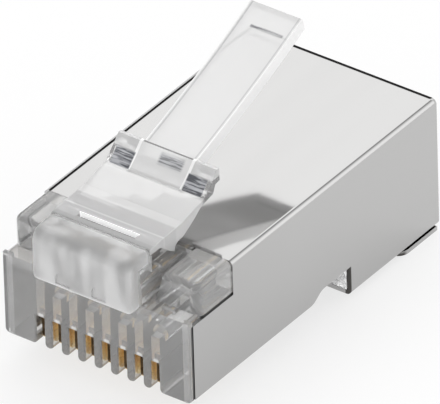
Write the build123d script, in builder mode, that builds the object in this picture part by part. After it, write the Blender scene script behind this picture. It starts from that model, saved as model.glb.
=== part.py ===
from build123d import *
import os

# Shielded eight-way modular plug, before it is crimped on a cable, in millimetres.
# The nose points to -Y, the cable end to +Y, the latch is on top (+Z) and the contacts are below.
# Side profiles give distances behind the front face of the nose and heights over the comb's lower edge.
# The origin is the middle of the underside of the whole plug.

# Shield: one sheet, folded round the body
sheet = 0.25
bend_inside = 0.05
shield_width = 11.68
shield_back = 21.2
shield_front = 3.7
arm_front = 0.3
arm_top = 4.62
arm_bottom = 0.2
notch_start = 10.1
notch_end = 11.35
notch_height = 0.68
rear_front = 13.56
rear_drop = 1.07
inner_flap_end = 4.6
outer_flap_front = 18.0
outer_flap_end = 5.75
outer_flap_gap = 0.08
outer_flap_corner = 0.65
outer_flap_back_inset = 0.05

# Housing body
nose_height = 6.6
body_clearance = 0.02
nose_width = 11.6
nose_corner = 0.3
shelf_height = 4.85
well_floor = 6.1
body_back = 21.0
cheek_inset = 0.05
cheek_front = 0.9
cheek_base = 4.64
cheek_inner_low = 3.05
cheek_inner_high = 3.62
cheek_corner = 0.5
cheek_edge = 0.36

# Latch root: the block on the nose that carries the latch
root_width = 6.08
root_front = -1.2
root_base = 4.96
root_top = 8.0
root_round = 0.75
root_edge = 0.25
root_lip = 0.3
arch_place = 1.12
arch_radius = 0.44
arch_height = 5.55
arch_depth = 0.08
neck_top = 6.6
neck_back = 1.6

# Comb and wire channels
ways = 8
pitch = 1.02
slot_height = 1.8
front_wall = 0.3
rib_flat = 0.04
front_round = 0.1
slot_back = 5.95
channel_radius = 0.47
channel_front = 1.3
channel_low = 3.2
channel_high = 3.9

# Contacts: blades stamped from sheet, one in each slot
blade = 0.36
blade_clearance = 0.08
blade_front = 0.42
blade_back = 5.8
blade_bottom = 0.1
blade_top = 2.1
blade_nose = 0.35
tooth_low = 2.7
tooth_high = 3.4
tooth_front = 1.5
tooth_base = 1.3
tooth_spacing = 2.4
tooth_tip = 0.25

# Latch: each bend of its side profile is given from the one before, and its underside by depths
hinge_back = 0.75
hinge_radius = 0.17
hinge_clearance = 0.03
latch_width = 6.1
window_width = 3.6
window_front = 1.0
window_length = 0.4
plate_length = 2.65
plate_climb = 0.1
plate_rise_length = 0.8
plate_rise_climb = 0.2
plate_bevel = 0.2
foot_length = 1.0
foot_climb = 0.18
knee_length = 0.85
knee_climb = 0.49
shoulder_length = 0.45
shoulder_climb = 0.63
shoulder_depth = 0.74
shoulder_step_length = 0.34
shoulder_step_drop = 0.06
tail_length = 0.18
tail_depth = 0.12
tail_front_depth = 0.26
under_length = 0.35
under_depth = 0.2
under_middle_length = 0.45
under_middle_depth = 0.51
under_front_length = 0.23
under_front_depth = 0.73
hollow_length = 0.43
hollow_depth = 0.87
curl_length = 0.25
curl_depth = 1.04
heel_length = 0.06
heel_depth = 1.32
heel_middle_length = 0.4
heel_middle_depth = 1.09
heel_upper_length = 0.4
heel_upper_depth = 0.74
heel_front_length = 0.41
lever_width = 3.24
lever_thickness = 0.68
ramp_drop = 0.04
lever_start_gap = 0.05
lever_start_drop = 0.16
lever_low_length = 3.09
lever_low_climb = 1.01
lever_high_length = 3.37
lever_high_climb = 1.26
lever_end_length = 2.74
lever_end_climb = 1.17
lever_end_lean = 0.15
lever_start_slope = 0.31
lever_end_slope = 0.43

# Cable entry and strain relief
cable_radius = 3.2
cable_height = 2.8
cavity_width = 8.4
cavity_front = 9.3
cavity_back = 14.2
cavity_floor = 1.5
cavity_roof = 5.9
bar_width = 6.6
bar_play = 0.12
bar_front = 10.95
bar_hinge_back = 12.85
bar_thickness = 0.8
bar_clearance = 0.03

# Places that follow from these sizes
middle = (root_front + shield_back) / 2
lowest = rear_drop + outer_flap_gap + sheet
shield_inside = shield_width - 2 * sheet
body_width = shield_inside - 2 * body_clearance
body_top = nose_height - sheet - body_clearance
body_drop = rear_drop - sheet - body_clearance
bend_outside = bend_inside + sheet
hinge_height = root_top - hinge_radius
window_back = window_front + window_length
plate_bend_back = hinge_back + plate_length
plate_bend_height = root_top + plate_climb
plate_rise_back = plate_bend_back + plate_rise_length
plate_rise_height = plate_bend_height + plate_rise_climb
foot_back = plate_rise_back + foot_length
foot_height = plate_rise_height + foot_climb
knee_back = foot_back + knee_length
knee_height = foot_height + knee_climb
shoulder_back = knee_back + shoulder_length
shoulder_height = knee_height + shoulder_climb
shoulder_under = shoulder_height - shoulder_depth
shoulder_step_back = shoulder_back - shoulder_step_length
tail_back = shoulder_step_back - tail_length
tail_height = foot_height - tail_depth
tail_low = foot_height - tail_front_depth
under_back = foot_back - under_length
under_middle = under_back - under_middle_length
hollow_front = plate_bend_back - hollow_length
curl_back = hollow_front - curl_length
heel_back = curl_back - heel_length
heel_middle = heel_back - heel_middle_length
heel_upper = heel_middle - heel_upper_length
heel_front = heel_upper - heel_front_length
lever_start = shoulder_back + lever_start_gap
lever_start_height = shoulder_height - lever_start_drop
lever_low_back = lever_start + lever_low_length
lever_low_height = lever_start_height + lever_low_climb
lever_high_back = lever_low_back + lever_high_length
lever_high_height = lever_low_height + lever_high_climb
lever_end = lever_high_back + lever_end_length
lever_end_height = lever_high_height + lever_end_climb
bar_height = cavity_floor - bar_thickness / 2
cheek_width = nose_width - 2 * cheek_inset
slot_width = blade + 2 * blade_clearance
rib_round = (pitch - slot_width - rib_flat) / 2
slot_places = [(way - (ways - 1) / 2) * pitch for way in range(ways)]


def spot(distance, height):
    """A point of a side profile: its distance behind the nose, and its height over the comb."""
    return (distance - middle, height + lowest)


def side_plane(x=0.0):
    """The plane of a side profile, whose own axes are Y and Z."""
    return Plane(origin=(x, 0, 0), x_dir=(0, 1, 0), z_dir=(1, 0, 0))


def cross_plane(distance):
    """The plane of a cross-section, whose own axes are X and Z, drawn toward the cable end."""
    return Plane(origin=(0, distance - middle, lowest), x_dir=(1, 0, 0), z_dir=(0, -1, 0))


def plan_plane(height):
    """The plane of a plan, whose own axes are X and the distance behind the nose."""
    return Plane(origin=(0, -middle, height + lowest), x_dir=(1, 0, 0), z_dir=(0, 0, 1))


def teeth(tip):
    """The upper edge of a contact, from the back to the front, with two piercing teeth."""
    points = [spot(blade_back, blade_top)]
    for number in (1, 0):
        front = tooth_front + number * tooth_spacing
        centre = front + tooth_base / 2
        points += [
            spot(front + tooth_base, blade_top),
            spot(centre + tooth_tip / 2, tip),
            spot(centre - tooth_tip / 2, tip),
            spot(front, blade_top),
        ]
    return points + [spot(blade_front, blade_top)]


os.makedirs("parts", exist_ok=True)

# Housing: the moulded body with its nose, comb, wire channels, cable bore and latch root
with BuildPart() as housing:
    # Latch root
    with BuildSketch(side_plane()):
        with BuildLine():
            Line(spot(hinge_back, root_base), spot(root_front + root_lip, root_base))
            RadiusArc(
                spot(root_front + root_lip, root_base),
                spot(root_front, root_base + root_lip),
                root_lip,
            )
            Line(spot(root_front, root_base + root_lip), spot(root_front, root_top - root_round))
            RadiusArc(
                spot(root_front, root_top - root_round),
                spot(root_front + root_round, root_top),
                root_round,
            )
            Polyline(
                spot(root_front + root_round, root_top),
                spot(hinge_back, root_top),
                spot(hinge_back, root_base),
            )
        make_face()
    extrude(amount=root_width / 2, both=True)
    root_rims = [
        edge
        for edge in housing.edges()
        if abs(edge.center().X) > root_width / 2 - 0.001 and edge.center().Y < hinge_back - 0.1 - middle
    ]
    fillet(root_rims, radius=root_edge)

    # Two shallow arches in its front face, down to its lip
    with BuildSketch(cross_plane(root_front)):
        for side in (-1, 1):
            arch_left = side * arch_place - arch_radius
            arch_right = side * arch_place + arch_radius
            with BuildLine():
                Polyline(
                    (arch_left, arch_height),
                    (arch_left, root_base + root_lip),
                    (arch_right, root_base + root_lip),
                    (arch_right, arch_height),
                )
                ThreePointArc(
                    (arch_right, arch_height),
                    (side * arch_place, arch_height + arch_radius),
                    (arch_left, arch_height),
                )
            make_face()
    extrude(amount=-arch_depth, mode=Mode.SUBTRACT)

    # Cheeks either side of it, flush with the shield
    with BuildSketch(cross_plane(cheek_front)):
        for side in (-1, 1):
            with BuildLine():
                Polyline(
                    (side * cheek_inner_low, cheek_base),
                    (side * cheek_width / 2, cheek_base),
                    (side * cheek_width / 2, nose_height),
                    (side * cheek_inner_high, nose_height),
                    (side * cheek_inner_low, cheek_base),
                )
            make_face()
    extrude(amount=cheek_front - shield_front + body_clearance)
    cheek_uprights = [
        edge
        for edge in housing.edges().filter_by(Axis.Z)
        if abs(edge.center().X) > cheek_width / 2 - 0.01 and edge.center().Y < cheek_front + 0.1 - middle
    ]
    fillet(cheek_uprights, radius=cheek_corner)
    cheek_tops = [
        face
        for face in housing.faces().filter_by(Axis.Z)
        if abs(face.center().Z - nose_height - lowest) < 0.01 and abs(face.center().X) > cheek_inner_low
    ]
    cheek_rims = [
        edge
        for face in cheek_tops
        for edge in face.edges()
        if edge.center().Y < cheek_front + 0.2 - middle or abs(edge.center().X) > cheek_width / 2 - 0.01
    ]
    fillet(cheek_rims, radius=cheek_edge)

    # Core inside the shield
    with BuildSketch(side_plane()):
        with BuildLine():
            Line(spot(front_wall, 0), spot(notch_start, 0))
            Spline(spot(notch_start, 0), spot(notch_end, notch_height), tangents=[(1, 0), (1, 0)])
            Polyline(
                spot(notch_end, notch_height),
                spot(rear_front, notch_height),
                spot(rear_front, -body_drop),
                spot(body_back, -body_drop),
                spot(body_back, body_top),
                spot(shield_front, body_top),
                spot(shield_front, well_floor),
                spot(neck_back, well_floor),
                spot(neck_back, neck_top),
                spot(hinge_back, neck_top),
                spot(hinge_back, root_base),
                spot(0, root_base),
                spot(0, shelf_height - nose_corner),
                spot(front_wall, shelf_height - nose_corner),
                spot(front_wall, 0),
            )
        make_face()
    extrude(amount=cheek_inner_low, both=True)
    with BuildSketch(side_plane()):
        with BuildLine():
            Line(spot(front_wall, 0), spot(notch_start, 0))
            Spline(spot(notch_start, 0), spot(notch_end, notch_height), tangents=[(1, 0), (1, 0)])
            Polyline(
                spot(notch_end, notch_height),
                spot(rear_front, notch_height),
                spot(rear_front, -body_drop),
                spot(body_back, -body_drop),
                spot(body_back, body_top),
                spot(shield_front, body_top),
                spot(shield_front, shelf_height),
                spot(front_wall, shelf_height),
                spot(front_wall, 0),
            )
        make_face()
    extrude(amount=body_width / 2, both=True)

    # Front wall, which covers the front edges of the shield's arms
    with BuildSketch(cross_plane(0)):
        with Locations((0, shelf_height / 2)):
            RectangleRounded(nose_width, shelf_height, nose_corner)
        with Locations((0, shelf_height - nose_corner)):
            Rectangle(nose_width, 2 * nose_corner)
    extrude(amount=-front_wall + body_clearance)
    with BuildSketch(cross_plane(0)):
        with Locations((0, shelf_height / 2)):
            Rectangle(body_width - 2 * nose_corner, shelf_height)
    extrude(amount=-2 * front_wall)

    # Groove in the latch root for the latch's hinge edge
    with BuildSketch(side_plane()):
        with Locations(spot(hinge_back, hinge_height)):
            Circle(hinge_radius + hinge_clearance)
    extrude(amount=latch_width, both=True, mode=Mode.SUBTRACT)

    # Comb: a slot for each contact, open below and through the front wall
    with BuildSketch(cross_plane(0)):
        for place in slot_places:
            with Locations((place, slot_height / 2)):
                Rectangle(slot_width, slot_height)
    extrude(amount=-slot_back, mode=Mode.SUBTRACT)
    rib_edges = [
        edge
        for edge in housing.edges().filter_by(Axis.Y)
        if abs(edge.center().Z - lowest) < 0.001 and abs(edge.center().X) < ways * pitch / 2
    ]
    fillet(rib_edges, radius=rib_round)
    rib_fronts = [
        edge
        for edge in housing.edges()
        if abs(edge.center().Y + middle) < 0.001
        and abs(edge.center().X) < ways * pitch / 2
        and edge.center().Z - lowest < slot_height - 0.01
    ]
    fillet(rib_fronts, radius=front_round)
    for way, place in enumerate(slot_places):
        channel_height = channel_low if way % 2 else channel_high
        with BuildSketch(cross_plane(front_wall)):
            with Locations((place, channel_height / 2)):
                Rectangle(slot_width, channel_height)
        extrude(amount=front_wall - slot_back, mode=Mode.SUBTRACT)
        with BuildSketch(cross_plane(channel_front)):
            with Locations((place, channel_height)):
                Circle(channel_radius)
        extrude(amount=channel_front - cavity_front - channel_radius, mode=Mode.SUBTRACT)

    # Cavity where the wires spread, and the round way in for the cable
    with BuildSketch(cross_plane(cavity_front)):
        with Locations((0, (cavity_floor + cavity_roof) / 2)):
            Rectangle(cavity_width, cavity_roof - cavity_floor)
    extrude(amount=cavity_front - cavity_back, mode=Mode.SUBTRACT)
    with BuildSketch(cross_plane(cavity_back)):
        with Locations((0, cable_height)):
            Circle(cable_radius)
    extrude(amount=cavity_back - body_back, mode=Mode.SUBTRACT)

    # Window for the strain relief bar
    with BuildSketch(side_plane()):
        with BuildLine():
            Polyline(
                spot(bar_front - bar_play, notch_height - 1),
                spot(bar_front - bar_play, cavity_floor + 1),
                spot(bar_hinge_back, cavity_floor + 1),
                spot(bar_hinge_back, notch_height - 1),
                spot(bar_front - bar_play, notch_height - 1),
            )
        make_face()
        with Locations(spot(bar_hinge_back, bar_height)):
            Circle(bar_thickness / 2 + bar_clearance)
    extrude(amount=bar_width / 2 + bar_play, both=True, mode=Mode.SUBTRACT)
housing.part.label = "housing"
export_step(housing.part, "parts/housing.step")

# Latch: hinge edge, plate with its heel, two shoulders and the lever
with BuildPart() as latch:
    with BuildSketch(side_plane()):
        with BuildLine():
            Polyline(
                spot(hinge_back, hinge_height + hinge_radius),
                spot(plate_bend_back, plate_bend_height),
                spot(plate_rise_back, plate_rise_height),
                spot(foot_back, foot_height),
                spot(knee_back, knee_height),
                spot(shoulder_back, shoulder_height),
                spot(shoulder_back, shoulder_under),
                spot(shoulder_step_back, shoulder_under - shoulder_step_drop),
                spot(tail_back, tail_height),
                spot(foot_back, tail_low),
                spot(under_back, plate_rise_height - under_depth),
                spot(under_middle, plate_rise_height - under_middle_depth),
                spot(plate_bend_back + under_front_length, plate_bend_height - under_front_depth),
                spot(plate_bend_back, plate_bend_height - hollow_depth),
                spot(hollow_front, plate_bend_height - hollow_depth),
                spot(curl_back, plate_bend_height - curl_depth),
                spot(heel_back, plate_bend_height - heel_depth),
                spot(heel_middle, plate_bend_height - heel_middle_depth),
                spot(heel_upper, plate_bend_height - heel_upper_depth),
                spot(heel_front, hinge_height - hinge_radius),
                spot(hinge_back, hinge_height - hinge_radius),
            )
            ThreePointArc(
                spot(hinge_back, hinge_height - hinge_radius),
                spot(hinge_back - hinge_radius, hinge_height),
                spot(hinge_back, hinge_height + hinge_radius),
            )
        make_face()
    extrude(amount=latch_width / 2, both=True)

    # Bevels along the plate's rear edges, up to the shoulders
    for start, end in (
        (spot(plate_bend_back, plate_bend_height), spot(plate_rise_back, plate_rise_height)),
        (spot(plate_rise_back, plate_rise_height), spot(foot_back, foot_height)),
    ):
        path = Vector(0, end[0] - start[0], end[1] - start[1])
        with BuildSketch(Plane(origin=(0, *start), x_dir=(1, 0, 0), z_dir=path)):
            for side in (-1, 1):
                with Locations((side * latch_width / 2, 0)):
                    Rectangle(plate_bevel * 2**0.5, plate_bevel * 2**0.5, rotation=45)
        extrude(amount=path.length, mode=Mode.SUBTRACT)

    # Lever, with the ramp that carries it between the shoulders
    with BuildSketch(side_plane()):
        with BuildLine():
            Polyline(
                spot(shoulder_back, lever_start_height - 1.2 * lever_thickness),
                spot(tail_back, tail_height),
                spot(foot_back - lever_thickness / 8, tail_low),
                spot(foot_back - lever_thickness / 8, foot_height),
                spot(foot_back + lever_thickness / 8, foot_height + lever_thickness / 5),
                spot(shoulder_back - lever_thickness / 8, shoulder_height - ramp_drop),
                spot(lever_start, lever_start_height),
            )
            Spline(
                spot(lever_start, lever_start_height),
                spot(lever_low_back, lever_low_height),
                spot(lever_high_back, lever_high_height),
                spot(lever_end, lever_end_height),
                tangents=[(1, lever_start_slope), (1, lever_end_slope)],
            )
            Line(
                spot(lever_end, lever_end_height),
                spot(lever_end + lever_end_lean, lever_end_height - lever_thickness),
            )
            Spline(
                spot(lever_end + lever_end_lean, lever_end_height - lever_thickness),
                spot(lever_high_back + lever_end_lean, lever_high_height - lever_thickness),
                spot(lever_low_back + lever_end_lean, lever_low_height - lever_thickness),
                spot(shoulder_back, lever_start_height - 1.2 * lever_thickness),
                tangents=[(-1, -lever_end_slope), (-1, -lever_start_slope)],
            )
        make_face()
    extrude(amount=lever_width / 2, both=True)
    with BuildSketch(plan_plane(hinge_height)):
        with Locations((0, (window_front + window_back) / 2)):
            Rectangle(window_width, window_back - window_front)
    extrude(amount=2 * hinge_radius, both=True, mode=Mode.SUBTRACT)
latch.part.label = "latch"
export_step(latch.part, "parts/latch.step")

# Shield: one folded sheet with two arms along the nose and two flaps under the cable end
with BuildPart() as shield:
    with BuildSketch(cross_plane(arm_front)):
        with Locations((0, (nose_height - rear_drop) / 2)):
            RectangleRounded(shield_width, nose_height + rear_drop, bend_outside)
            RectangleRounded(
                shield_inside,
                nose_height + rear_drop - 2 * sheet,
                bend_inside,
                mode=Mode.SUBTRACT,
            )
        with Locations((-inner_flap_end / 2 - shield_width / 4, -rear_drop)):
            Rectangle(shield_width / 2 - inner_flap_end, 2 * sheet + 2 * bend_inside, mode=Mode.SUBTRACT)
    extrude(amount=arm_front - shield_back)
    with BuildSketch(side_plane()):
        with BuildLine():
            Line(spot(arm_front, arm_bottom), spot(notch_start, arm_bottom))
            Spline(
                spot(notch_start, arm_bottom),
                spot(notch_end, notch_height),
                tangents=[(1, 0), (1, 0)],
            )
            Polyline(
                spot(notch_end, notch_height),
                spot(rear_front, notch_height),
                spot(rear_front, -2 * rear_drop),
                spot(shield_back, -2 * rear_drop),
                spot(shield_back, 2 * nose_height),
                spot(shield_front, 2 * nose_height),
                spot(shield_front, arm_top),
                spot(arm_front, arm_top),
                spot(arm_front, arm_bottom),
            )
        make_face()
    extrude(amount=shield_width, both=True, mode=Mode.INTERSECT)

    # Outer flap, folded from the left side under the inner one
    with BuildSketch(cross_plane(outer_flap_front)):
        with BuildLine():
            left = -shield_width / 2
            inside_left = left + sheet
            flap_top = sheet - lowest
            Polyline(
                (left, 0),
                (left, bend_outside - lowest),
            )
            RadiusArc((left, bend_outside - lowest), (left + bend_outside, -lowest), -bend_outside)
            Polyline(
                (left + bend_outside, -lowest),
                (outer_flap_end, -lowest),
                (outer_flap_end, flap_top),
                (inside_left + bend_inside, flap_top),
            )
            RadiusArc(
                (inside_left + bend_inside, flap_top),
                (inside_left, flap_top + bend_inside),
                bend_inside,
            )
            Polyline(
                (inside_left, flap_top + bend_inside),
                (inside_left, 0),
                (left, 0),
            )
        make_face()
    extrude(amount=outer_flap_front - shield_back + outer_flap_back_inset)
    flap_corners = [
        edge
        for edge in shield.edges().filter_by(Axis.Z)
        if abs(edge.center().X - outer_flap_end) < 0.01 and edge.center().Y < outer_flap_front + 0.1 - middle
    ]
    fillet(flap_corners, radius=outer_flap_corner)
shield.part.label = "shield"
export_step(shield.part, "parts/shield.step")

# Strain relief bar: pressed into the cavity, round its back edge, when the plug is crimped
with BuildPart() as strain_relief_bar:
    with BuildSketch(side_plane()):
        with BuildLine():
            bar_bottom = bar_height - bar_thickness / 2
            Polyline(
                spot(bar_hinge_back, cavity_floor),
                spot(bar_front, cavity_floor),
                spot(bar_front, bar_bottom),
                spot(bar_hinge_back, bar_bottom),
            )
            ThreePointArc(
                spot(bar_hinge_back, bar_bottom),
                spot(bar_hinge_back + bar_thickness / 2, bar_height),
                spot(bar_hinge_back, cavity_floor),
            )
        make_face()
    extrude(amount=bar_width / 2, both=True)
strain_relief_bar.part.label = "strain_relief_bar"
export_step(strain_relief_bar.part, "parts/strain_relief_bar.step")

# Contacts: each blade has a round nose below and two piercing teeth above
for way, place in enumerate(slot_places):
    with BuildPart() as contact:
        with BuildSketch(side_plane(place)):
            with BuildLine():
                Polyline(*teeth(tooth_low if way % 2 else tooth_high))
                Line(spot(blade_front, blade_top), spot(blade_front, blade_bottom + blade_nose))
                RadiusArc(
                    spot(blade_front, blade_bottom + blade_nose),
                    spot(blade_front + blade_nose, blade_bottom),
                    -blade_nose,
                )
                Polyline(
                    spot(blade_front + blade_nose, blade_bottom),
                    spot(blade_back, blade_bottom),
                    spot(blade_back, blade_top),
                )
            make_face()
        extrude(amount=blade / 2, both=True)
    contact.part.label = f"contact_{way + 1}"
    export_step(contact.part, f"parts/contact_{way + 1}.step")
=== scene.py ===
import bmesh
import bpy
from math import cos, radians, sin
from mathutils import Matrix, Vector


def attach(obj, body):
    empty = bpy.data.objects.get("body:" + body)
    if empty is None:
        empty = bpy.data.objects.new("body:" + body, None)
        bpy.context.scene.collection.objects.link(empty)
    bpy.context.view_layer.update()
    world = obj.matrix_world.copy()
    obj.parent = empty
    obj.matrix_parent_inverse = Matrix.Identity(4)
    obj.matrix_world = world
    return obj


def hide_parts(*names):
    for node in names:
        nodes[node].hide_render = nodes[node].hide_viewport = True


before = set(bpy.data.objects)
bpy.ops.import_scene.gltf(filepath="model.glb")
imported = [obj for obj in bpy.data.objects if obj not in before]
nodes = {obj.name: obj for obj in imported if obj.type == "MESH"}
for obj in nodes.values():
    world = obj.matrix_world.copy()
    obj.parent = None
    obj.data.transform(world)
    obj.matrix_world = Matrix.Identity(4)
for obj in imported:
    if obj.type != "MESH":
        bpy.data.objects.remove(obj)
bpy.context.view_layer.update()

# Places are in mm: x from the middle to the right, y back from the nose's face and z up from the comb's
# lower edge. The row frame's origin lies MIDDLE behind the nose's face and LOWEST under that edge.
MIDDLE = 10.0
LOWEST = 1.40

CONTACTS = 8
PITCH = 1.02
COMB_HALF = 4.0
SLOT_HEIGHT = 1.8
BLADE_FRONT = 0.42
SEAM_INNER = 5.66

SHIELD_HALF = 5.84
SHIELD_BACK = 21.2
REAR_FRONT = 13.56
REAR_DROP = 1.07

HINGE = (0.75, 7.83)
HINGE_RADIUS = 0.17
LATCH_HALF = 3.05
LEVER_HALF = 1.62
LEVER_SLOPES = (0.31, 0.43)
WINDOW_HALF = 1.8
WINDOW_FRONT, WINDOW_BACK = 1.0, 1.4
WINDOW_LOW, WINDOW_TOP = 7.2, 8.4

WHITE = (1, 1, 1)


def at(x, y, z):
    """A place in the row frame, in metres."""
    return Vector((x, y - MIDDLE, z + LOWEST)) / 1000


# Node helpers, in which a given value is a number, a colour or another node's output
def new_material(name):
    material = bpy.data.materials.new(name)
    material.use_nodes = True
    tree = material.node_tree
    return material, tree, tree.nodes["Principled BSDF"]


def give(tree, socket, given):
    if isinstance(given, (int, float)):
        socket.default_value = given
    elif isinstance(given, tuple):
        socket.default_value = (*given, 1)
    else:
        tree.links.new(given, socket)


def fill(tree, node, sockets):
    for name, given in sockets.items():
        give(tree, node.inputs[name], given)


def place_parts(tree, output="Object"):
    coordinates = tree.nodes.new("ShaderNodeTexCoord")
    parts = tree.nodes.new("ShaderNodeSeparateXYZ")
    tree.links.new(coordinates.outputs[output], parts.inputs["Vector"])
    return parts.outputs["X"], parts.outputs["Y"], parts.outputs["Z"]


def noise(tree, scale, detail, stretch=(1, 1, 1)):
    coordinates = tree.nodes.new("ShaderNodeTexCoord")
    mapping = tree.nodes.new("ShaderNodeMapping")
    mapping.inputs["Scale"].default_value = stretch
    texture = tree.nodes.new("ShaderNodeTexNoise")
    tree.links.new(coordinates.outputs["Object"], mapping.inputs["Vector"])
    fill(tree, texture, {"Vector": mapping.outputs["Vector"], "Scale": scale, "Detail": detail})
    return texture.outputs["Fac"]


def ramp(tree, source, low, high, low_at=0.35, high_at=0.65):
    """low where the source is low_at, high where it is high_at, even between them and level past them."""
    node = tree.nodes.new("ShaderNodeMapRange")
    fill(tree, node, {
        "Value": source, "From Min": low_at, "From Max": high_at, "To Min": low, "To Max": high,
    })
    return node.outputs["Result"]


def calculate(tree, operation, first, second=0.0):
    node = tree.nodes.new("ShaderNodeMath")
    node.operation = operation
    for socket, given in zip(node.inputs, (first, second)):
        give(tree, socket, given)
    return node.outputs["Value"]


def mirror_place(tree, place):
    """The place with x counted from the middle outwards on both sides."""
    x, y, z = place
    return calculate(tree, "ABSOLUTE", x), y, z


def chain(tree, operation, values):
    """The values taken together with one operation, from the first on."""
    result, *others = values
    for value in others:
        result = calculate(tree, operation, result, value)
    return result


def product(tree, *factors):
    return chain(tree, "MULTIPLY", factors)


def either(tree, *masks):
    return chain(tree, "MAXIMUM", masks)


def opposite(tree, mask):
    return calculate(tree, "SUBTRACT", 1.0, mask)


def blended(tree, mask, first, second):
    """The number first where the mask is 0, second where it is 1."""
    node = tree.nodes.new("ShaderNodeMix")
    fill(tree, node, {"Factor": mask, "A": first, "B": second})
    return node.outputs["Result"]


def tinted(tree, mask, first, second):
    """The colour first where the mask is 0, second where it is 1."""
    node = tree.nodes.new("ShaderNodeMix")
    node.data_type = "RGBA"
    # The mix node has a set of sockets for each kind of data; these are the colour's
    for index, given in ((0, mask), (6, first), (7, second)):
        give(tree, node.inputs[index], given)
    return node.outputs[2]


def layered(tree, mix, base, layers):
    """The base with each (mask, value) layer laid over it in turn, by blended or tinted."""
    for mask, value in layers:
        base = mix(tree, mask, base, value)
    return base


def bumped(tree, source, strength):
    """The surface's normal with the source as its relief."""
    node = tree.nodes.new("ShaderNodeBump")
    fill(tree, node, {"Height": source, "Strength": strength, "Distance": 0.0002})
    return node.outputs["Normal"]


def along(tree, place, axis, start, end, before=0, after=1):
    """before up to start and after from end on, in mm along one axis."""
    index = "xyz".index(axis)
    low_at, high_at = (at(edge, edge, edge)[index] for edge in (start, end))
    return ramp(tree, place[index], before, after, low_at, high_at)


def zone(tree, place, soft=0.06, **ranges):
    """1 inside the ranges along x, y and z, and 0 from soft mm outside them."""
    edges = []
    for axis, (low, high) in ranges.items():
        edges.append(along(tree, place, axis, low - soft, low))
        edges.append(along(tree, place, axis, high, high + soft, 1, 0))
    return product(tree, *edges)


# Materials
def clear_plastic(name, tint, roughness, clearness):
    """Clear plastic, frosted on the latch root's top and where the root stands before the nose's face."""
    material, tree, shader = new_material(name)
    place = place_parts(tree)
    before_nose = along(tree, place, "y", -0.1, -0.5)
    root_top = zone(tree, place, 0.2, y=(-2, 0.4), z=(7.3, 8.3))
    frost = either(tree, before_nose, root_top)
    # The frosting is stronger in some places than in others
    cloud = noise(tree, 900, 1, stretch=(1, 1, 0.25))
    haze = ramp(tree, noise(tree, 900, 4), roughness, roughness * 1.8)
    clear = ramp(tree, noise(tree, 420, 3), clearness * 0.96, clearness)
    clear = blended(tree, frost, clear, ramp(tree, cloud, 0.36, 0.62, 0.38, 0.62))
    fill(tree, shader, {
        "Base Color": tint,
        "IOR": 1.585,
        "Roughness": blended(tree, frost, haze, ramp(tree, cloud, 0.28, 0.36)),
        "Normal": bumped(tree, noise(tree, 260, 2), 0.05),
    })
    return material, tree, shader, place, clear


def body_plastic():
    """The housing's plastic: clearest in the comb, with painted shade, near black and not clear, in the
    narrow gaps where the shield's arms meet it.
    """
    tint = (0.95, 0.95, 0.95)
    material, tree, shader, place, clear = clear_plastic(
        "clear_plastic", tint, roughness=0.03, clearness=0.8
    )
    x, y, z = place
    mirrored = mirror_place(tree, place)
    comb = zone(tree, mirrored, x=(0, COMB_HALF + 0.1), y=(0.12, 6), z=(-0.2, SLOT_HEIGHT + 0.05))
    feet = zone(tree, mirrored, 0.15, x=(0, COMB_HALF), y=(0.1, 4), z=(-0.2, 0.25))
    lip = zone(tree, mirrored, 0.08, y=(-1.3, -0.62), z=(4.9, 5.14))
    cap = zone(tree, mirrored, 0.35, y=(-2, 0.5), z=(7.85, 8.3))
    # Painted shade: near black and not clear in the narrow gaps where the shield's arms meet the housing
    front_seam_shade = zone(tree, mirrored, 0.04, x=(SEAM_INNER, 6), y=(0.16, 0.3), z=(-0.2, 4.6))
    top_seam_shade = zone(tree, mirrored, 0.04, x=(SEAM_INNER, 6), y=(1.0, 9), z=(4.62, 4.72))
    seam_shade = either(tree, front_seam_shade, top_seam_shade)
    # A painted glint, whiter and less clear, over each slot, where x starts again at every pitch
    from_left = calculate(tree, "ADD", x, CONTACTS / 2 * PITCH / 1000)
    repeated = calculate(tree, "MODULO", from_left, PITCH / 1000)
    over_slot = (SLOT_HEIGHT + 0.02, SLOT_HEIGHT + 0.14)
    painted_glint = zone(tree, (repeated, y, z), 0.12, x=(0.5, 0.7), y=(-0.05, 0.04), z=over_slot)
    painted_glint = product(tree, painted_glint, zone(tree, mirrored, x=(0, COMB_HALF)), 0.75)
    fill(tree, shader, {
        "Base Color": layered(tree, tinted, tint, (
            (feet, (0.78, 0.75, 0.69)), (cap, (0.72, 0.72, 0.72)), (seam_shade, (0.03, 0.03, 0.03)),
        )),
        "Transmission Weight": layered(tree, blended, clear, (
            (comb, 0.97), (either(tree, painted_glint, lip), 0.15), (feet, 0.72), (seam_shade, 0.0),
        )),
    })
    return material


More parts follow.
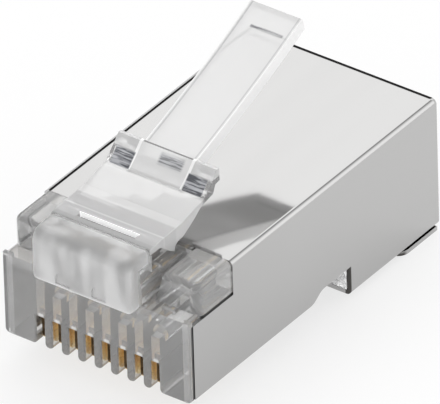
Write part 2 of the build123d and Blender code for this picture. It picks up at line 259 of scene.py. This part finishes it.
def latch_clear():
    """The latch's plastic: hazy plate, frosted rear face in the window with a painted glow, and painted
    shade in streaks on the rising faces.
    """
    tint = (0.985, 0.983, 0.982)
    material, tree, shader, place, clear = clear_plastic(
        "latch_plastic", tint, roughness=0.02, clearness=0.93
    )
    mirrored = mirror_place(tree, place)
    across = (0, LATCH_HALF - 0.07)
    plate = zone(tree, mirrored, 0.3, y=(0.4, 5.0))
    front = zone(tree, mirrored, 0.12, x=across, y=(0.4, 2.75))
    light_line = zone(tree, mirrored, 0.05, y=(1.78, 1.84))
    front = product(tree, front, opposite(tree, light_line))
    nose = zone(tree, mirrored, 0.1, x=across, y=(0.4, 0.95))
    rear_wall = (WINDOW_BACK - 0.06, WINDOW_BACK + 0.01)
    # Painted light: the window's rear wall is coloured white, made nearly opaque and given a glow
    glowing_wall = zone(tree, mirrored, 0.02, x=(0, WINDOW_HALF + 0.04), y=rear_wall, z=(7.72, 8.2))

    shoulders = zone(
        tree, mirrored, x=(LEVER_HALF + 0.06, LATCH_HALF + 0.05), y=(5.7, 6.7), z=(9.18, 9.7)
    )
    # Painted shade: the rising faces beside the lever and a patch at its foot are coloured dark, in streaks,
    # and made less clear
    shaded_sides = zone(tree, mirrored, x=(LEVER_HALF + 0.06, 2.8), y=(5.22, 5.95), z=(8.5, 9.1))
    shade_patch = zone(tree, place, 0.15, x=(-0.2, 1.1), y=(5.7, 6.5), z=(9.12, 9.4))
    riser_shade = either(tree, shaded_sides, product(tree, shade_patch, 0.8))
    streaks = ramp(tree, noise(tree, 8000, 2, stretch=(0.12, 1, 1)), 0, 1, 0.42, 0.6)
    streaked_shade = tinted(tree, streaks, (0.07, 0.075, 0.09), (0.5, 0.51, 0.54))

    lever = zone(tree, mirrored, 0.2, x=(0, LEVER_HALF + 0.08), y=(5.3, 16))
    edges = zone(tree, mirrored, 0.04, x=(LEVER_HALF - 0.05, LEVER_HALF + 0.08), y=(5.2, 16))
    border = zone(tree, mirrored, 0.03, x=(LEVER_HALF - 0.2, LEVER_HALF - 0.15), y=(6.6, 16))
    # Painted shade: a dark line along the crease at the top of the ramp
    crease_shade = zone(tree, mirrored, 0.04, x=(0, 1.5), y=(6.38, 6.46), z=(9.4, 9.7))
    tip = zone(tree, place, 0.08, x=(-0.7, 1.2), y=(14.48, 14.56))
    tip = product(tree, tip, ramp(tree, streaks, 0.4, 1, 0, 1))

    fill(tree, shader, {
        "Base Color": layered(tree, tinted, tint, (
            (front, (0.74, 0.735, 0.74)), (nose, (0.42, 0.42, 0.42)), (crease_shade, (0.2, 0.2, 0.2)),
            (border, (0.72, 0.72, 0.73)), (tip, (0.3, 0.3, 0.32)), (glowing_wall, WHITE), (riser_shade, streaked_shade),
        )),
        "Transmission Weight": layered(tree, blended, clear, (
            (plate, 0.5), (lever, 0.38), (shoulders, 0.55), (edges, 0.1), (nose, 0.2), (glowing_wall, 0.05),
            (riser_shade, 0.25),
        )),
        # The light that the clear plastic gathers on the window's rear wall
        "Emission Color": WHITE,
        "Emission Strength": product(tree, glowing_wall, 0.35),
    })
    return material


def shield_metal():
    """Bright plated sheet, a little darker toward the front as painted shade, with cut edges darkened by
    painted shade.
    """
    material, tree, shader = new_material("plated_sheet")
    place = place_parts(tree)
    mirrored = mirror_place(tree, place)
    side = (5.5, 6)
    step = (REAR_FRONT - 0.03, REAR_FRONT + 0.04)
    lower_edge = (-REAR_DROP - 0.03, -REAR_DROP + 0.05)
    # Painted shade: near black on the cut edges at the notch, along the rear's lower edge and on the flap
    notch_shade = zone(tree, mirrored, 0.03, x=side, y=step, z=(-1.1, 0.66))
    bottom_edge_shade = zone(tree, mirrored, 0.03, x=side, y=(REAR_FRONT, 21.3), z=lower_edge)
    flap_shade = zone(tree, mirrored, 0.2, x=(5, 6), y=(17.9, 18.35), z=(-1.5, -1.3))
    cut = either(tree, notch_shade, bottom_edge_shade, flap_shade)
    # Painted shade: the sheet is coloured a little darker toward the front than toward the back
    painted_falloff = along(tree, place, "y", 3, 9)
    sheet = tinted(tree, painted_falloff, (0.485, 0.482, 0.479), (0.515, 0.512, 0.509))
    grain = noise(tree, 700, 3, stretch=(1, 0.06, 1))

    # The sheet rolls down a little at its back edge and before the left bend
    top = along(tree, place, "z", 6.3, 6.45)
    rear = along(tree, place, "y", SHIELD_BACK - 0.2, SHIELD_BACK - 0.08, 0, 0.3)
    left = along(tree, place, "x", 0.43 - SHIELD_HALF, 0.33 - SHIELD_HALF, 0, -0.32)
    lean = tree.nodes.new("ShaderNodeCombineXYZ")
    fill(tree, lean, {"X": product(tree, top, left), "Y": product(tree, top, rear)})
    rolled = tree.nodes.new("ShaderNodeVectorMath")
    rolled.operation = "ADD"
    give(tree, rolled.inputs[0], bumped(tree, noise(tree, 120, 2), 0.04))
    give(tree, rolled.inputs[1], lean.outputs["Vector"])
    unit = tree.nodes.new("ShaderNodeVectorMath")
    unit.operation = "NORMALIZE"
    give(tree, unit.inputs[0], rolled.outputs["Vector"])
    fill(tree, shader, {
        "Base Color": tinted(tree, cut, sheet, (0.1, 0.095, 0.09)),
        "Metallic": 1,
        "Roughness": ramp(tree, grain, 0.06, 0.1),
        "Normal": unit.outputs["Vector"],
    })
    return material


def contact_metal():
    """Gold with upright rolling streaks, and painted shade, dark brown, on the sheared front edge."""
    material, tree, shader = new_material("gold_plate")
    streaks = ramp(tree, noise(tree, 3200, 2, stretch=(1, 1, 0.12)), 0, 1, 0.36, 0.56)
    # Painted shade: dark brown on each blade's sheared front edge
    edge = zone(tree, place_parts(tree), 0.03, y=(0, BLADE_FRONT + 0.02))
    gold = tinted(tree, streaks, (0.9, 0.6, 0.24), (1.0, 0.84, 0.5))
    # The light that the clear ribs gather on the flats
    gathered = product(tree, ramp(tree, streaks, 0.03, 0.11, 0, 1), opposite(tree, edge))
    fill(tree, shader, {
        "Base Color": tinted(tree, edge, gold, (0.13, 0.085, 0.045)),
        "Metallic": 1,
        "Roughness": ramp(tree, noise(tree, 1500, 3), 0.22, 0.38),
        "Emission Color": (1.0, 0.72, 0.38),
        "Emission Strength": gathered,
    })
    return material


# Meshes
def finish_mesh(piece, material, width, angle):
    """A material and a small bevel, width metres wide, on the edges sharper than angle degrees."""
    piece.data.materials.clear()
    piece.data.materials.append(material)
    for polygon in piece.data.polygons:
        polygon.use_smooth = True
    bevel = piece.modifiers.new("edge", "BEVEL")
    bevel.width = width
    bevel.segments = 3
    bevel.limit_method = "ANGLE"
    bevel.angle_limit = radians(angle)
    bevel.harden_normals = True


def dress(node, material):
    piece = nodes[node]
    finish_mesh(piece, material, width=0.00003, angle=40)
    weighted = piece.modifiers.new("flats", "WEIGHTED_NORMAL")
    weighted.keep_sharp = True


def new_piece(name, vertices, faces):
    mesh = bpy.data.meshes.new(name)
    mesh.from_pydata(vertices, [], faces)
    piece = bpy.data.objects.new(name, mesh)
    bpy.context.collection.objects.link(piece)
    return piece


def prism(name, profile, half):
    """A solid whose side profile is a list of (distance, height) points, from -half to half across."""
    vertices = [at(x, y, z) for x in (-half, half) for y, z in profile]
    count = len(profile)
    faces = [tuple(range(count))[::-1], tuple(range(count, 2 * count))]
    faces += [(i, (i + 1) % count, count + (i + 1) % count, count + i) for i in range(count)]
    piece = new_piece(name, vertices, faces)
    shape = bmesh.new()
    shape.from_mesh(piece.data)
    bmesh.ops.recalc_face_normals(shape, faces=shape.faces)
    shape.to_mesh(piece.data)
    shape.free()
    return piece


def combine(piece, tool, operation):
    """Joins or cuts piece with tool, applies it and removes the tool."""
    modifier = piece.modifiers.new("combine", "BOOLEAN")
    modifier.object = tool
    modifier.operation = operation
    modifier.solver = "EXACT"
    graph = bpy.context.evaluated_depsgraph_get()
    result = bpy.data.meshes.new_from_object(piece.evaluated_get(graph))
    piece.modifiers.clear()
    piece.data = result
    bpy.data.objects.remove(tool)


def arc(centre, radius, start, end, steps):
    turns = [radians(start + (end - start) * i / steps) for i in range(steps + 1)]
    return [(centre[0] + radius * cos(a), centre[1] + radius * sin(a)) for a in turns]


def curve_through(points, end_slopes, steps=8):
    """A smooth line through (distance, height) points, with the slopes at its two ends."""
    slopes = [end_slopes[0]]
    for before, after in zip(points, points[2:]):
        slopes.append((after[1] - before[1]) / (after[0] - before[0]))
    slopes.append(end_slopes[1])
    line = []
    for i in range(len(points) - 1):
        (x0, y0), (x1, y1) = points[i], points[i + 1]
        span = x1 - x0
        for j in range(steps):
            t = j / steps
            line.append((
                x0 + span * t,
                (2 * t**3 - 3 * t**2 + 1) * y0 + (t**3 - 2 * t**2 + t) * span * slopes[i]
                + (3 * t**2 - 2 * t**3) * y1 + (t**3 - t**2) * span * slopes[i + 1],
            ))
    return line + [points[-1]]


def make_latch():
    """The plate with its heel and shoulders, and the lever with the ramp below it."""
    plate = arc(HINGE, HINGE_RADIUS, 270, 90, 8) + [
        (3.4, 8.1), (4.2, 8.3), (5.2, 8.48), (5.86, 9.1), (6.34, 9.6), (6.54, 9.6),
        (6.54, 8.87), (6.16, 8.8), (5.98, 8.36), (5.2, 8.22), (4.85, 8.1), (4.4, 7.79), (3.97, 7.54),
        (3.63, 7.37), (3.37, 7.24), (2.97, 7.22), (2.72, 7.06), (2.66, 6.78), (2.26, 7.01),
        (1.86, 7.36), (1.45, 7.66),
    ]
    lever_top = curve_through([(6.55, 9.44), (9.64, 10.45), (13.01, 11.71), (15.75, 12.88)], LEVER_SLOPES)
    lever_low = curve_through([(6.5, 8.62), (9.79, 9.77), (13.16, 11.03), (15.9, 12.2)], LEVER_SLOPES)
    lever_foot = [(6.1, 8.37), (5.115, 8.21), (5.115, 8.48), (5.285, 8.61), (6.42, 9.56)]
    window = [
        (WINDOW_FRONT, WINDOW_LOW), (WINDOW_BACK, WINDOW_LOW),
        (WINDOW_BACK, WINDOW_TOP), (WINDOW_FRONT, WINDOW_TOP),
    ]
    piece = prism("latch_form", plate, LATCH_HALF)
    combine(piece, prism("lever_tool", lever_top + lever_low[::-1] + lever_foot, LEVER_HALF), "UNION")
    combine(piece, prism("window_tool", window, WINDOW_HALF), "DIFFERENCE")
    return piece


# The plug
plastic = body_plastic()
dress("housing", plastic)
dress("strain_relief_bar", plastic)
dress("shield", shield_metal())
gold = contact_metal()
for way in range(CONTACTS):
    dress(f"contact_{way + 1}", gold)

latch = make_latch()
finish_mesh(latch, latch_clear(), width=0.00006, angle=9)
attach(latch, "latch_body")
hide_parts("latch")


# Floor, sky, lamp and camera
def floor_white():
    """Pale, and mixed with plain white where it is seen, so that the plug's shadow stays."""
    material, tree, shader = new_material("floor")
    fill(tree, shader, {"Base Color": (0.93, 0.93, 0.93), "Roughness": 0.9, "Specular IOR Level": 0.1})
    white = tree.nodes.new("ShaderNodeEmission")
    fill(tree, white, {"Color": WHITE, "Strength": 1.0})
    rays = tree.nodes.new("ShaderNodeLightPath")
    through = either(tree, rays.outputs["Is Glossy Ray"], rays.outputs["Is Transmission Ray"])
    straight = product(tree, rays.outputs["Is Camera Ray"], 0.72)
    share = tree.nodes.new("ShaderNodeMixShader")
    give(tree, share.inputs["Fac"], either(tree, straight, product(tree, through, 0.45)))
    give(tree, share.inputs[1], shader.outputs["BSDF"])
    give(tree, share.inputs[2], white.outputs["Emission"])
    give(tree, tree.nodes["Material Output"].inputs["Surface"], share.outputs["Shader"])
    return material


def make_floor(half):
    """A square floor at height 0, half metres from its middle to each edge."""
    corners = [(-half, -half, 0), (half, -half, 0), (half, half, 0), (-half, half, 0)]
    plane = new_piece("floor", corners, [(0, 1, 2, 3)])
    plane.data.materials.append(floor_white())


def make_sky():
    """An even sky, lighter behind on the left and on the right, darker between those and low on the left."""
    world = bpy.data.worlds.new("studio")
    bpy.context.scene.world = world
    world.use_nodes = True
    tree = world.node_tree
    x, y, z = place_parts(tree, "Generated")

    def toward(direction, inner, outer):
        """1 within inner degrees of a direction of the sky, and 0 from outer degrees on."""
        parts = zip((x, y, z), Vector(direction).normalized())
        nearness = chain(tree, "ADD", [product(tree, part, amount) for part, amount in parts])
        return ramp(tree, nearness, 0, 1, cos(radians(outer)), cos(radians(inner)))

    left = toward((-0.5, 0.66, 0.6), 12, 40)
    right = toward((0.68, 0.66, 0.28), 16, 30)
    between = toward((0.02, 0.66, 0.75), 5, 11)
    low_left = product(
        tree,
        ramp(tree, x, 0, 1, -0.3, -0.42),
        ramp(tree, y, 0, 1, 0.2, 0.4),
        ramp(tree, z, 0, 1, 0.53, 0.49),
    )
    even = 0.9
    level = chain(tree, "ADD", (even, product(tree, left, 0.6), product(tree, right, 0.6)))
    for dark, depth in ((between, 0.65), (low_left, 0.97)):
        level = product(tree, level, opposite(tree, product(tree, dark, depth)))
    fill(tree, tree.nodes["Background"], {"Color": level, "Strength": 1.0})


def make_sun():
    data = bpy.data.lights.new("key", "SUN")
    data.energy = 0.5
    data.angle = radians(40)
    sun = bpy.data.objects.new("key", data)
    sun.rotation_euler = (radians(-28), radians(-22), 0)
    sun.visible_glossy = False
    sun.visible_transmission = False
    bpy.context.collection.objects.link(sun)


# The camera, from the fit to the photograph: image width in pixels, angles in degrees, distance in metres,
# pixels per mm, and how far in mm the view's middle stands from a place inside the plug
IMAGE_WIDTH = 440
AZIMUTH, ELEVATION, ROLL = radians(37.09), radians(34.26), radians(1.76)
DISTANCE = 0.867
SCALE = 19.850
AIM = (0, 11, 3)
AIM_RIGHT, AIM_UP = -0.27, 0.72
SENSOR = 36


def make_camera():
    back = Vector((sin(AZIMUTH) * cos(ELEVATION), -cos(AZIMUTH) * cos(ELEVATION), sin(ELEVATION)))
    right = Vector((cos(AZIMUTH), sin(AZIMUTH), 0))
    up = back.cross(right)
    aim = at(*AIM) + (AIM_RIGHT * right + AIM_UP * up) / 1000
    axes = Matrix((cos(ROLL) * right - sin(ROLL) * up, sin(ROLL) * right + cos(ROLL) * up, back))
    data = bpy.data.cameras.new("camera")
    data.sensor_width = SENSOR
    data.lens = SENSOR * SCALE * DISTANCE * 1000 / IMAGE_WIDTH
    data.clip_end = 10
    camera = bpy.data.objects.new("camera", data)
    camera.matrix_world = Matrix.Translation(aim + back * DISTANCE) @ axes.transposed().to_4x4()
    bpy.context.collection.objects.link(camera)
    bpy.context.scene.camera = camera


make_floor(2.0)
make_sky()
make_sun()
make_camera()
bpy.context.scene.view_settings.view_transform = "Standard"
